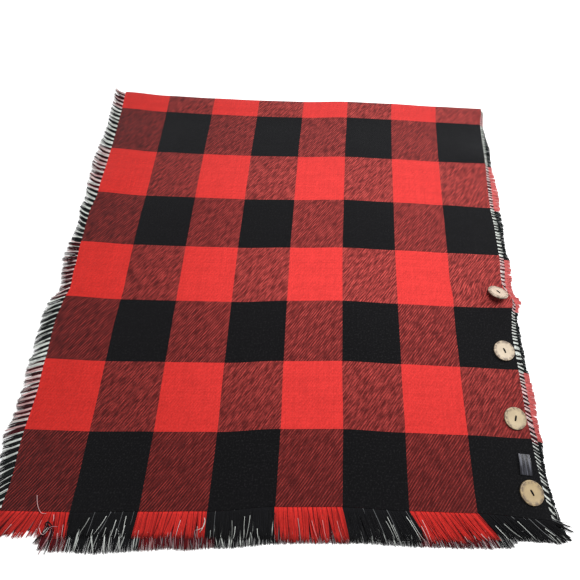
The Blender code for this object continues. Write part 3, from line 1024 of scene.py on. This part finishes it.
def make_hem_upper():
    """Broad soft locks with dark lines of painted shade between them, and a few pale threads on
    top.
    """
    dice = random.Random(15)
    yarns = Yarns("fringe_hem_upper_yarn")
    for column in range(CHECKS_ACROSS):
        red = column % 2 == 0
        at, end = column * CHECK_WIDTH, (column + 1) * CHECK_WIDTH
        shades = [YARN_RED] * 6 + [YARN_CRIMSON] if red else [YARN_BLACK]
        # The dark threads between locks are painted shade.
        line = [YARN_DEEP] if red else [YARN_BLACK] * 6 + [YARN_GREY]
        while at < end - MM:
            width = min(dice.uniform(4.0, 7.0) * MM, end - at)
            hem_lock(yarns, dice, (at + width / 2) / PANEL_WIDTH, True, 1.04 * width, 2.5, 0.0,
                     shades, count=round(width / (0.42 * MM)), tip_share=0.98, curl=0.05)
            if at > column * CHECK_WIDTH:
                hem_lock(yarns, dice, at / PANEL_WIDTH, True, 0.5 * MM, 4, 0.5 * MM, line,
                         count=2, tip_share=0.9, ragged=0.08, share=0.96, curl=0.08)
            at += width
        for _ in range(dice.randint(4, 8)):
            across = (column + dice.uniform(0.03, 0.97)) / CHECKS_ACROSS
            shade = varied(YARN_BLUSH if red else YARN_PALE, dice, 0.35)
            hem_lock(yarns, dice, across, True, 0.3 * MM, 7, 1.2 * MM, [shade], count=1,
                     thickness=dice.uniform(0.45, 0.9), begin=dice.uniform(0.2, 0.85))
    return yarns.finish("fringe_hem_upper")


def make_hem_under():
    """An even layer painted dark, the shade beneath the upper fringe, with narrow pale locks over
    it.
    """
    dice = random.Random(16)
    yarns = Yarns("fringe_hem_under_yarn")
    at = 0.0
    while at < PANEL_WIDTH:
        width = dice.uniform(3.0, 5.0) * MM
        middle = min(1.0, (at + width / 2) / PANEL_WIDTH)
        # Red columns are drawn in maroon: painted shade beneath the upper fringe.
        shades = [YARN_MAROON] * 4 + [YARN_DEEP] if column_is_red(middle) else [YARN_BLACK]
        hem_lock(yarns, dice, middle, False, 1.5 * width, 2.0, 0.0, shades,
                 count=round(width / (0.32 * MM)), tip_share=1.05, ragged=0.03, curl=0.02)
        at += width
    at = 0.0
    while at < PANEL_WIDTH:
        across = at / PANEL_WIDTH
        shades = [YARN_ASH, YARN_PALE]
        if column_is_red(across):
            shades = [YARN_MAUVE, YARN_DEEP, YARN_GREY]
        hem_lock(yarns, dice, across, False, dice.uniform(0.6, 1.6) * MM, 9, 0.7 * MM, shades,
                 count=dice.randint(2, 3), tip_share=0.6, share=0.97, curl=0.15)
        at += dice.uniform(3.5, 8.5) * MM
    return yarns.finish("fringe_hem_under")


hem_upper = make_hem_upper()
hem_under = make_hem_under()

# %% [markdown]
# ## Coconut-shell buttons
# Each button is sawn from shell and turned: a flat disc with a rounded edge, a
# fine ring cut near the rim and two small holes.  A profile spun round its
# axis gives the turning, and a Boolean drills the holes.  The disc keeps a
# flat UV map so that the shell's grain and the darker skin near the rim stay
# with it.

# %% Button material
SHELL_BROWN = (0.36, 0.26, 0.15, 1.0)
SHELL_FLECK = (0.16, 0.10, 0.06, 1.0)
SHELL_SKIN = (0.165, 0.120, 0.088, 1.0)


def make_coconut():
    """Pale shell with brown flecks, darker in patches at the rim."""
    made, tree, shader = new_material("coconut_shell", {
        "Roughness": 0.42, "Specular IOR Level": 0.45})
    place_on = object_place(tree)
    centred = add_node(tree, "ShaderNodeVectorMath", {0: uv_map(tree, "face"), 1: (0.5, 0.5, 0.0)},
                       operation="SUBTRACT").outputs[0]
    radius = add_node(tree, "ShaderNodeVectorMath", {0: centred}, operation="LENGTH")
    from_middle = Signal(tree, radius.outputs["Value"]) * 2.0
    clouds = soft_noise(tree, place_on, 120.0, 4.0)
    grain = soft_noise(tree, place_on, 900.0, 5.0)
    pores = add_node(tree, "ShaderNodeTexVoronoi", {"Vector": place_on, "Scale": 1300.0})
    fleck = smooth_range(tree, pores.outputs[0], 0.05, 0.32, 1.0, 0.0)
    fleck = fleck * smooth_range(tree, clouds, 0.42, 0.62)
    skin = soft_noise(tree, place_on, 260.0, 6.0)
    patch = smooth_range(tree, from_middle, 0.6, 0.88) * smooth_range(tree, skin, 0.36, 0.60)
    tint = smooth_range(tree, clouds, 0.3, 0.7, 0.88, 1.06)
    color = scaled(tree, kept_color(tree, "shell"), tint)
    color = mix_color(tree, grain * 0.3, color, SHELL_BROWN)
    color = mix_color(tree, fleck * 0.6, color, SHELL_FLECK)
    color = mix_color(tree, patch * 0.85, color, SHELL_SKIN)
    wire(tree, color, shader.inputs["Base Color"])
    wire(tree, grain * 0.25 + 0.32, shader.inputs["Roughness"])
    add_relief(tree, shader, grain, strength=0.25, depth=0.15)
    return made


coconut_shell = make_coconut()

# %% Turn and drill a button
BUTTON_RADIUS = 14 * MM
BUTTON_THICK = 2.6 * MM
RIM_ROUND = 0.8 * MM
DISH = 0.35 * MM
HOLE_RADIUS = 1.15 * MM
HOLE_SPACING = 5.2 * MM
TURNS = 72
BUTTON_SHARP = math.radians(40)
# Turn of the holes, axis and angle of the tip in degrees, and the colour of the shell.
BUTTONS = {
    "button_1": (-66, -14.5, -30.5, (0.60, 0.48, 0.38)),
    "button_2": (-73, -40, -2, (0.57, 0.47, 0.34)),
    "button_3": (70, 20, 1.5, (0.55, 0.44, 0.28)),
    "button_4": (-68, -35, -2.5, (0.49, 0.37, 0.20)),
}


def button_base(name):
    """Where a button lies: the middle of its solid's box, turned and tipped."""
    low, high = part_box(name)
    turn, axis, tip = (math.radians(angle) for angle in BUTTONS[name][:3])
    tipped = Matrix.Rotation(tip, 4, Vector((math.cos(axis), math.sin(axis), 0)))
    return Matrix.Translation((low + high) / 2) @ tipped @ Matrix.Rotation(turn, 4, "Z")


def button_profile():
    """Half section of the disc: distance from the axis, and height."""
    half = BUTTON_THICK / 2
    face = half - DISH
    edge = [(BUTTON_RADIUS - RIM_ROUND * (1 - math.cos(turn)), RIM_ROUND * math.sin(turn))
            for turn in (0.0, 0.4, 0.8, 1.2, math.pi / 2)]
    upper = [(x, half - RIM_ROUND + z) for x, z in edge]
    lower = [(x, -half + RIM_ROUND - z) for x, z in reversed(edge)]
    dished = [
        (12.75 * MM, half), (12.55 * MM, half - 0.25 * MM), (12.25 * MM, half - 0.28 * MM),
        (12.05 * MM, half - 0.02 * MM), (11.4 * MM, half - 0.05 * MM),
        (9.0 * MM, face + 0.06 * MM), (5.0 * MM, face), (0.0, face),
    ]
    return [(0.0, -half), *lower, *upper, *dished]


def make_disc(name):
    """The turned disc, spun from its half section."""
    bm = bmesh.new()
    points = [bm.verts.new((x, 0, z)) for x, z in button_profile()]
    edges = [bm.edges.new(pair) for pair in zip(points, points[1:])]
    bmesh.ops.spin(bm, geom=points + edges, cent=(0, 0, 0), axis=(0, 0, 1),
                   angle=math.tau, steps=TURNS, use_merge=True)
    bmesh.ops.remove_doubles(bm, verts=bm.verts, dist=0.005 * MM)
    bmesh.ops.recalc_face_normals(bm, faces=bm.faces)
    return mesh_from(bm, name)


def make_drill():
    """Two rods where the holes go."""
    bm = bmesh.new()
    for side in (-1, 1):
        bmesh.ops.create_cone(bm, cap_ends=True, segments=24, radius1=HOLE_RADIUS,
                              radius2=HOLE_RADIUS, depth=3 * BUTTON_THICK,
                              matrix=Matrix.Translation((side * HOLE_SPACING / 2, 0, 0)))
    return add_object("drill", mesh_from(bm, "drill"))


def make_button(name):
    """One button where the solid of the same name lies."""
    drill = make_drill()
    shell = new_piece(name + "_shell", make_disc(name + "_shell"))
    shell.modifiers.new("holes", "BOOLEAN").object = drill
    bpy.context.view_layer.update()
    apply_modifiers(shell)
    bpy.data.objects.remove(drill)
    mesh = shell.data
    face = mesh.uv_layers.new(name="face")
    for loop in mesh.loops:
        point = mesh.vertices[loop.vertex_index].co / (2 * BUTTON_RADIUS)
        face.data[loop.index].uv = (point.x + 0.5, point.y + 0.5)
    keep_color(mesh, "shell", (*BUTTONS[name][3], 1.0) * len(mesh.vertices))
    mesh.shade_smooth()
    mesh.set_sharp_from_angle(angle=BUTTON_SHARP)
    mesh.transform(button_base(name))
    finish_with(shell, coconut_shell)
    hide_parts(name)
    return shell


buttons = [make_button(name) for name in BUTTONS]
print("buttons:", [piece.name for piece in buttons])

# %% [markdown]
# ## The thread through the buttons
# A few turns of black thread pass from hole to hole.  They are short splines
# that dive into each hole, made into one mesh of their own with the same yarn
# material as the loose threads.

# %% Button thread
STRANDS = 6
STRAND_GAP = 0.36 * MM
STITCH_POINTS = 9
STITCH_DEPTH = 1.6 * MM


def make_button_threads():
    """Six strands across each pair of holes."""
    yarns = Yarns("button_threads")
    for name in BUTTONS:
        base = button_base(name)
        for strand in range(STRANDS):
            side = (strand - (STRANDS - 1) / 2) * STRAND_GAP
            points = []
            for step in range(STITCH_POINTS):
                part = 2 * step / (STITCH_POINTS - 1) - 1
                x = part * (HOLE_SPACING / 2 + 0.8 * MM)
                depth = STITCH_DEPTH * ease((abs(part) - 0.78) / 0.22)
                z = BUTTON_THICK / 2 - 0.15 * MM - depth + 0.12 * MM * (strand % 2)
                points.append(base @ Vector((x, side * (1 - 0.3 * abs(part)), z)))
            yarns.add(points, YARN_BLACK, 0.85)
    yarns.finish()


make_button_threads()

# %% [markdown]
# ## The label
# A loop of black satin ribbon, sewn at one end and folded over at the other.
# It is left bare.  Satin has long floats that lie side by side, so light runs
# down it in streaks; a stretched noise paints those streaks of sheen into the
# colour and into the roughness.

# %% Satin
LABEL_WIDTH = 14.2 * MM
SATIN_DARK = (0.012, 0.012, 0.017, 1.0)
# The grey of the streaks is painted sheen.
SATIN_SHEEN = (0.11, 0.115, 0.145, 1.0)
# Waves in a metre of the streaks, across the ribbon and along it, and of its weft.
SATIN_STRETCH = (420.0, 40.0, 1.0)
SATIN_WEFTS = 1100.0


def make_satin():
    """Black satin with painted sheen in streaks along its length, darker at its two edges where
    less of that sheen is painted.
    """
    made, tree, shader = new_material("label_satin", {
        "Roughness": 0.35, "Specular IOR Level": 0.5, "Sheen Weight": 0.1})
    flat = uv_map(tree, "ribbon")
    stretch = add_node(tree, "ShaderNodeVectorMath", {0: flat, 1: SATIN_STRETCH},
                       operation="MULTIPLY")
    streak = soft_noise(tree, stretch.outputs[0], 1.0, 3.0)
    from_middle = abs(split(tree, flat)[0])
    edge = smooth_range(tree, from_middle, 0.36 * LABEL_WIDTH, 0.5 * LABEL_WIDTH, 1.0, 0.15)
    # The grey streaks are painted sheen, faded out at the two edges.
    sheen_band = smooth_range(tree, streak, 0.45, 0.62) * edge
    color = mix_color(tree, sheen_band * 0.9, SATIN_DARK, SATIN_SHEEN)
    wire(tree, color, shader.inputs["Base Color"])
    wire(tree, streak * 0.3 + 0.22, shader.inputs["Roughness"])
    wefts = add_node(tree, "ShaderNodeTexWave",
                     {"Vector": flat, "Scale": SATIN_WEFTS, "Distortion": 1.0},
                     bands_direction="X")
    add_relief(tree, shader, wefts.outputs["Fac"], strength=0.3, depth=0.1)
    return made


label_satin = make_satin()

# %% Fold the label
LABEL_LENGTH = 24 * MM
LABEL_TURN = math.radians(-5.0)
RIBBON = 0.28 * MM
LOOP_RADIUS = 0.6 * MM
LABEL_COLUMNS = 12
LABEL_ROWS = 60
# How much the ribbon cups across its width, and how much its upper layer bows.
CUP = 0.25 * MM
BOW = 0.45 * MM


def ribbon_point(part):
    """A point of the ribbon's side view: distance from its sewn end, height, and walk to it."""
    straight = LABEL_LENGTH - LOOP_RADIUS
    total = 2 * straight + math.pi * LOOP_RADIUS
    walked = part * total
    if walked < straight:
        return walked, RIBBON, walked
    turn = (walked - straight) / LOOP_RADIUS
    if turn < math.pi:
        out = straight + LOOP_RADIUS * math.sin(turn)
        return out, RIBBON + LOOP_RADIUS * (1 - math.cos(turn)), walked
    back = (total - walked) / straight
    bow = BOW * math.sin(math.pi * back)
    return total - walked, RIBBON + 2 * LOOP_RADIUS * ease(0.35 + back) + bow, walked


def label_point(side, part):
    """Where a point of the label's grid lies, and its flat coordinates."""
    out, height, walked = ribbon_point(part)
    cup = CUP * (2 * side) ** 2 * math.sin(math.pi * min(1.0, out / LABEL_LENGTH))
    x = side * LABEL_WIDTH
    return Vector((x, LABEL_LENGTH / 2 - out, height + cup)), (x, walked)


def make_label():
    """The folded ribbon, seated where its solid lies."""
    low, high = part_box("label")
    middle = (low + high) / 2
    bm = flat_sheet("ribbon", LABEL_COLUMNS, LABEL_ROWS, label_point)
    mesh = mesh_from(bm, "label_ribbon")
    seat = Matrix.Translation((middle.x, middle.y, low.z))
    mesh.transform(seat @ Matrix.Rotation(LABEL_TURN, 4, "Z"))
    label = new_piece("label_ribbon", mesh)
    thicken(label, RIBBON, 0)
    finish_with(label, label_satin)
    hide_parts("label")
    return label


label = make_label()
print("label:", len(label.data.polygons), "faces")

# %% [markdown]
# ## Stray threads
# A few ends have worked loose: a long pale one curls up over the near left
# corner, and a small tangle lies on the fringe beside it.

# %% Where the strays lie
STRAY_POINTS = 14


def smooth_path(points):
    """Points along a smooth curve through a few chosen ones."""
    bigger = [points[0], *points, points[-1]]
    path = []
    for step in range(STRAY_POINTS):
        at = step / (STRAY_POINTS - 1) * (len(points) - 1)
        index = min(int(at), len(points) - 2)
        t = at - index
        a, b, c, d = bigger[index:index + 4]
        path.append(0.5 * ((2 * b) + (c - a) * t + (2 * a - 5 * b + 4 * c - d) * t * t
                           + (3 * b - a - 3 * c + d) * t ** 3))
    return path


def on_cloth(across, down, above):
    """A point so many mm over the upper half, or over its height at the edge."""
    return Vector((*place(across, down), upper_top(across, min(down, 1.0)) + above * MM))


# Across, down and mm above the cloth for each point, then the shade and the number of strands.
STRAYS = (
    # Pale curl over the near left corner.
    ([(0.0606, 0.9745, 4), (0.065, 0.988, 2.5), (0.072, 0.999, 1.6), (0.078, 1.003, 1.2),
      (0.085, 1.003, 1)], YARN_BLUSH, 1),
    # The knot in the fringe: a dark twist, three dark tails and a pale loop round it.
    ([(0.0888, 1.0177, 2), (0.0948, 1.0161, 4), (0.1024, 1.0205, 5), (0.1017, 1.0243, 4),
      (0.0957, 1.0252, 4), (0.0915, 1.029, 2)], YARN_BLACK, 5),
    ([(0.1014, 1.0228, 4), (0.0937, 1.0305, 4), (0.085, 1.038, 3), (0.078, 1.044, 2)],
     YARN_MAROON, 7),
    ([(0.1005, 1.0228, 4), (0.0925, 1.0305, 4), (0.083, 1.04, 3), (0.075, 1.048, 2)],
     YARN_BLACK, 4),
    ([(0.095, 1.019, 5), (0.1, 1.023, 6), (0.095, 1.029, 6), (0.09, 1.032, 5)],
     YARN_BLACK, 6),
    ([(0.1037, 1.0251, 4), (0.1045, 1.0386, 3), (0.102, 1.0505, 2), (0.098, 1.064, -1)],
     YARN_BLACK, 5),
    ([(0.103, 1.0251, 4), (0.1, 1.04, 3), (0.094, 1.052, 2), (0.088, 1.065, -1)],
     YARN_MAUVE, 4),
    ([(0.0814, 1.0246, 4), (0.0875, 1.032, 6), (0.0936, 1.034, 7), (0.0984, 1.029, 7),
      (0.1006, 1.024, 7)], YARN_BLUSH, 1),
    ([(0.1006, 1.024, 7), (0.1055, 1.022, 6), (0.1134, 1.0225, 4)], YARN_MAUVE, 1),
    ([(0.0925, 1.031, 7), (0.0985, 1.0235, 7)], YARN_PALE, 1),
    ([(0.0994, 1.0044, 2), (0.1019, 1.0098, 3), (0.102, 1.0144, 3)], YARN_BLUSH, 1),
    # Pale curls in the second red column, and at the right corner.
    ([(0.3727, 1.01, 3), (0.3753, 1.0154, 4), (0.373, 1.0248, 4), (0.3663, 1.028, 4),
      (0.3602, 1.0296, 3)], YARN_PALE, 1),
    ([(0.3745, 1.015, 3), (0.3724, 1.0264, 4), (0.3679, 1.0326, 3)], YARN_PALE, 1),
    ([(1.0074, 0.9757, 0), (1.0104, 0.9806, 0), (1.0116, 0.9886, 0), (1.0115, 0.9982, 0)],
     YARN_PALE, 1),
    ([(1.0074, 0.999, -1), (1.02, 1.0037, -1), (1.0335, 1.0035, -1)], YARN_GREY, 1),
    ([(1.0082, 1.0046, -1), (1.021, 1.0081, -1), (1.0362, 1.009, -2)], YARN_BLACK, 1),
    # A loop in the left fringe.
    ([(-0.002, 0.4985, -1), (-0.011, 0.4965, -1), (-0.023, 0.503, -2), (-0.0215, 0.511, -2),
      (-0.012, 0.509, -1), (-0.002, 0.504, -1)], YARN_BLACK, 4),
)


# %% Stray threads
STRAY_SPREAD = 0.35 * MM


def make_strays():
    """The few threads that lie over the cloth and the fringe."""
    dice = random.Random(17)
    yarns = Yarns("stray_threads")
    for route, shade, strands in STRAYS:
        path = smooth_path([on_cloth(*spot) for spot in route])
        spread = STRAY_SPREAD * math.sqrt(strands - 1)
        for strand in range(strands):
            apart = Vector((dice.uniform(-1, 1), dice.uniform(-1, 1), dice.uniform(-0.5, 0.5)))
            points = [point + apart * spread for point in path]
            yarns.add(points, varied(shade, dice), 0.8)
    yarns.finish()


make_strays()

# %% [markdown]
# ## Floor, light and camera
# The surface is plain and nearly white, with a faint glow of its own, as a
# backlit table has.  A broad lamp hangs over the right half, so the cloth
# darkens towards the left, and soft daylight comes from the far right.  The
# camera stands over the near edge and looks down, tipped about a quarter of a
# right angle away from straight down.

# %% Floor
FLOOR_SIZE = 6.0
FLOOR_Z = -0.25 * MM
FLOOR_GLOW = 0.5


def make_floor():
    """A pale floor, well larger than any view."""
    bm = bmesh.new()
    bmesh.ops.create_grid(bm, x_segments=1, y_segments=1, size=FLOOR_SIZE)
    bmesh.ops.translate(bm, verts=bm.verts, vec=(0, 0, FLOOR_Z))
    floor = add_object("floor", mesh_from(bm, "floor"))
    pale_floor = new_material("pale_floor", {
        "Roughness": 0.9, "Specular IOR Level": 0.1, "Base Color": (0.93, 0.93, 0.925, 1.0),
        "Emission Color": (1.0, 1.0, 1.0, 1.0), "Emission Strength": FLOOR_GLOW})[0]
    finish_with(floor, pale_floor)


make_floor()

# %% Light
LAMP_PLACE = Vector((0.17, 0.09, 0.68))
LAMP_SIZE = 0.35
LAMP_POWER = 5.1
SUN_FROM = Vector((0.75, 0.55, 1.0))
SUN_STRENGTH = 1.4
SUN_SOFTNESS = math.radians(9)
SKY = 0.22


def add_light(name, kind, energy, place_at, toward):
    """A light that shines from a place towards another."""
    lamp = bpy.data.lights.new(name, kind)
    lamp.energy = energy
    light = add_object(name, lamp)
    light.location = place_at
    light.rotation_mode = "QUATERNION"
    light.rotation_quaternion = (toward - place_at).to_track_quat("-Z", "Y")
    return lamp


def make_lights():
    """A broad lamp over the right half, soft daylight from the far right, and a dim sky."""
    lamp = add_light("overhead", "AREA", LAMP_POWER, LAMP_PLACE, LAMP_PLACE * Vector((1, 1, 0)))
    lamp.shape = "DISK"
    lamp.size = LAMP_SIZE
    add_light("daylight", "SUN", SUN_STRENGTH, SUN_FROM, Vector()).angle = SUN_SOFTNESS
    world = bpy.data.worlds.new("pale_room")
    world.use_nodes = True
    background = world.node_tree.nodes["Background"]
    background.inputs["Color"].default_value = (1.0, 1.0, 1.0, 1.0)
    background.inputs["Strength"].default_value = SKY
    bpy.context.scene.world = world
    bpy.context.scene.view_settings.view_transform = "Standard"


make_lights()

# %% Camera
# Place in mm, then its tilt from straight down, its yaw and its roll.
CAMERA_PLACE = Vector((-6.9, -278.5, 563.0)) * MM
CAMERA_TILT = math.radians(24.24)
CAMERA_YAW = math.radians(-2.17)
CAMERA_ROLL = math.radians(3.49)
# The focal length is a share of the sensor's width, as 430 pixels are of the image's 580.
SENSOR = 36.0
LENS = SENSOR * 430 / 580


def make_camera():
    """The photographer's view of the shawl."""
    data = bpy.data.cameras.new("camera")
    data.sensor_width = SENSOR
    data.lens = LENS
    camera = add_object("camera", data)
    turn = (Matrix.Rotation(CAMERA_YAW, 4, "Z") @ Matrix.Rotation(CAMERA_TILT, 4, "X")
            @ Matrix.Rotation(CAMERA_ROLL, 4, "Z"))
    camera.matrix_world = Matrix.Translation(CAMERA_PLACE) @ turn
    bpy.context.scene.camera = camera


make_camera()
print("lens:", round(LENS, 1), "mm")
